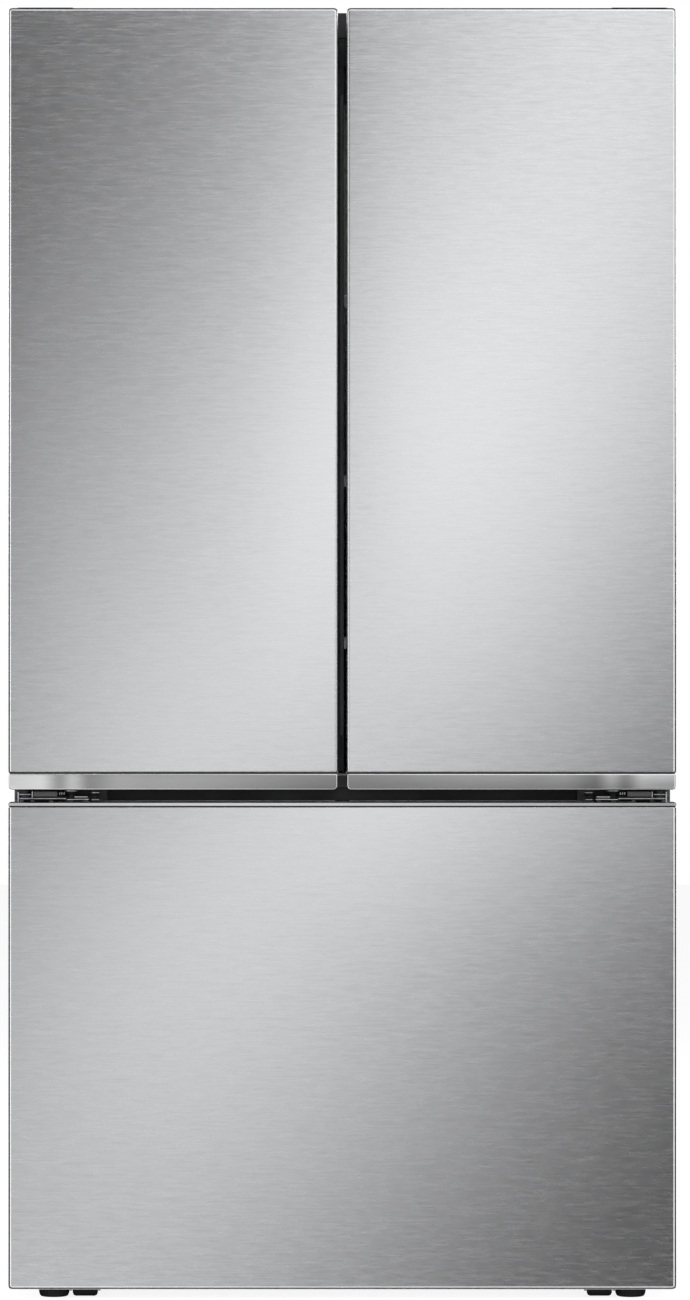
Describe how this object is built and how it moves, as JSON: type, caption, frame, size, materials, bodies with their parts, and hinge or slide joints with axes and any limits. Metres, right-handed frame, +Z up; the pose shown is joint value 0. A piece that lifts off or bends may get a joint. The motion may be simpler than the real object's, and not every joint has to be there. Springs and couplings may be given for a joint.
{
  "type": "french door refrigerator",
  "caption": "Tall freestanding refrigerator with side-by-side upper doors over a pull-out freezer drawer, in brushed steel with a dark case, recessed grips, feet and rollers.",
  "frame": {"origin": "on the floor, under the centre of the body's outer box", "axes": "+Z up, the doors face -Y, +X to the right of someone standing in front of it"},
  "size_m": [0.908, 0.722, 1.77],
  "materials": {
    "door_steel": "satin",
    "trim_metal": "satin",
    "case_paint": "satin",
    "zinc_steel": "matte",
    "liner_plastic": "satin",
    "black_plastic": "matte",
    "compressor_paint": "satin",
    "roller_rubber": "matte",
    "gasket_rubber": "matte",
    "clear_plastic": "gloss",
    "shelf_glass": "polished",
    "foam": "matte",
    "fin_aluminium": "satin",
    "lamp_lens": "satin"
  },
  "bodies": {
    "cabinet": {"outer_wrapper": "case_paint", "front_frame": "case_paint", "insulation_foam": "foam", "fridge_liner": "liner_plastic", "freezer_liner": "liner_plastic", "back_panel": "case_paint", "machine_cover": "black_plastic", "base_pan": "zinc_steel", "top_front_cover": "black_plastic", "compressor": "compressor_paint", "condenser_coil": "compressor_paint", "evaporator_coil": "fin_aluminium", "evaporator_cover": "liner_plastic", "crisper_cover": "shelf_glass", "shelf_full": "shelf_glass", "shelf_left": "shelf_glass", "shelf_right": "shelf_glass", "air_duct": "liner_plastic", "ceiling_lamp": "lamp_lens", "top_hinge_left": "zinc_steel", "hinge_cover_left": "black_plastic", "centre_hinge_left": "zinc_steel", "front_bracket_left": "zinc_steel", "top_hinge_right": "zinc_steel", "hinge_cover_right": "black_plastic", "centre_hinge_right": "zinc_steel", "front_bracket_right": "zinc_steel"},
    "left_door": {"left_door_skin": "door_steel", "left_door_liner": "liner_plastic", "left_door_gasket": "gasket_rubber", "left_door_trim": "trim_metal", "left_door_dike": "liner_plastic", "left_bin_upper": "clear_plastic", "left_bin_lower": "clear_plastic"},
    "right_door": {"right_door_skin": "door_steel", "right_door_liner": "liner_plastic", "right_door_gasket": "gasket_rubber", "right_door_trim": "trim_metal", "right_door_dike": "liner_plastic", "right_bin_upper": "clear_plastic", "right_bin_lower": "clear_plastic"},
    "mullion": {"mullion_flap": "black_plastic"},
    "left_crisper": {"crisper_left": "clear_plastic"},
    "right_crisper": {"crisper_right": "clear_plastic"},
    "freezer_drawer": {"freezer_door_skin": "door_steel", "freezer_door_liner": "liner_plastic", "freezer_handle_cap": "trim_metal", "freezer_gasket": "gasket_rubber", "freezer_rail_left": "zinc_steel", "freezer_rail_right": "zinc_steel", "freezer_bin": "clear_plastic"},
    "upper_tray": {"freezer_tray": "clear_plastic"},
    "condenser_blower": {"condenser_fan": "black_plastic"},
    "evaporator_blower": {"evaporator_fan": "liner_plastic"},
    "left_leg": {"leveling_leg_left": "black_plastic"},
    "left_front_wheel": {"front_roller_left": "roller_rubber"},
    "left_rear_wheel": {"rear_roller_left": "roller_rubber"},
    "right_leg": {"leveling_leg_right": "black_plastic"},
    "right_front_wheel": {"front_roller_right": "roller_rubber"},
    "right_rear_wheel": {"rear_roller_right": "roller_rubber"}
  },
  "joints": [
    {"name": "left_door_swing", "type": "hinge", "parent": "cabinet", "child": "left_door", "pos_m": [-0.434, -0.327, 1.2], "axis": [0, 0, -1], "range_deg": [0, 120]},
    {"name": "right_door_swing", "type": "hinge", "parent": "cabinet", "child": "right_door", "pos_m": [0.434, -0.327, 1.2], "axis": [0, 0, 1], "range_deg": [0, 120]},
    {"name": "mullion_fold", "type": "hinge", "parent": "left_door", "child": "mullion", "pos_m": [-0.026, -0.274, 1.2], "axis": [0, 0, 1], "range_deg": [0, 90]},
    {"name": "left_crisper_slide", "type": "slide", "parent": "cabinet", "child": "left_crisper", "axis": [0, -1, 0], "range_m": [0, 0.19]},
    {"name": "right_crisper_slide", "type": "slide", "parent": "cabinet", "child": "right_crisper", "axis": [0, -1, 0], "range_m": [0, 0.19]},
    {"name": "freezer_slide", "type": "slide", "parent": "cabinet", "child": "freezer_drawer", "axis": [0, -1, 0], "range_m": [0, 0.45]},
    {"name": "upper_tray_slide", "type": "slide", "parent": "cabinet", "child": "upper_tray", "axis": [0, -1, 0], "range_m": [0, 0.32]},
    {"name": "condenser_fan_spin", "type": "hinge", "parent": "cabinet", "child": "condenser_blower", "pos_m": [0.01, 0.275, 0.15], "axis": [1, 0, 0], "continuous": true},
    {"name": "evaporator_fan_spin", "type": "hinge", "parent": "cabinet", "child": "evaporator_blower", "pos_m": [0, 0.262, 0.585], "axis": [0, 1, 0], "continuous": true},
    {"name": "left_leg_turn", "type": "hinge", "parent": "cabinet", "child": "left_leg", "pos_m": [-0.396, -0.268, 0.03], "axis": [0, 0, 1], "continuous": true},
    {"name": "left_front_wheel_spin", "type": "hinge", "parent": "cabinet", "child": "left_front_wheel", "pos_m": [-0.353, -0.275, 0.017], "axis": [1, 0, 0], "continuous": true},
    {"name": "left_rear_wheel_spin", "type": "hinge", "parent": "cabinet", "child": "left_rear_wheel", "pos_m": [-0.395, 0.3, 0.024], "axis": [1, 0, 0], "continuous": true},
    {"name": "right_leg_turn", "type": "hinge", "parent": "cabinet", "child": "right_leg", "pos_m": [0.396, -0.268, 0.03], "axis": [0, 0, 1], "continuous": true},
    {"name": "right_front_wheel_spin", "type": "hinge", "parent": "cabinet", "child": "right_front_wheel", "pos_m": [0.353, -0.275, 0.017], "axis": [1, 0, 0], "continuous": true},
    {"name": "right_rear_wheel_spin", "type": "hinge", "parent": "cabinet", "child": "right_rear_wheel", "pos_m": [0.395, 0.3, 0.024], "axis": [1, 0, 0], "continuous": true}
  ],
  "couplings": [
    {"joint": "mullion_fold", "follows": "left_door_swing", "ratio": 0.75},
    {"joint": "left_crisper_slide", "follows": "left_door_swing", "m_per_rad": 0.0907},
    {"joint": "right_crisper_slide", "follows": "right_door_swing", "m_per_rad": 0.0907},
    {"joint": "upper_tray_slide", "follows": "freezer_slide", "ratio": 0.7}
  ]
}
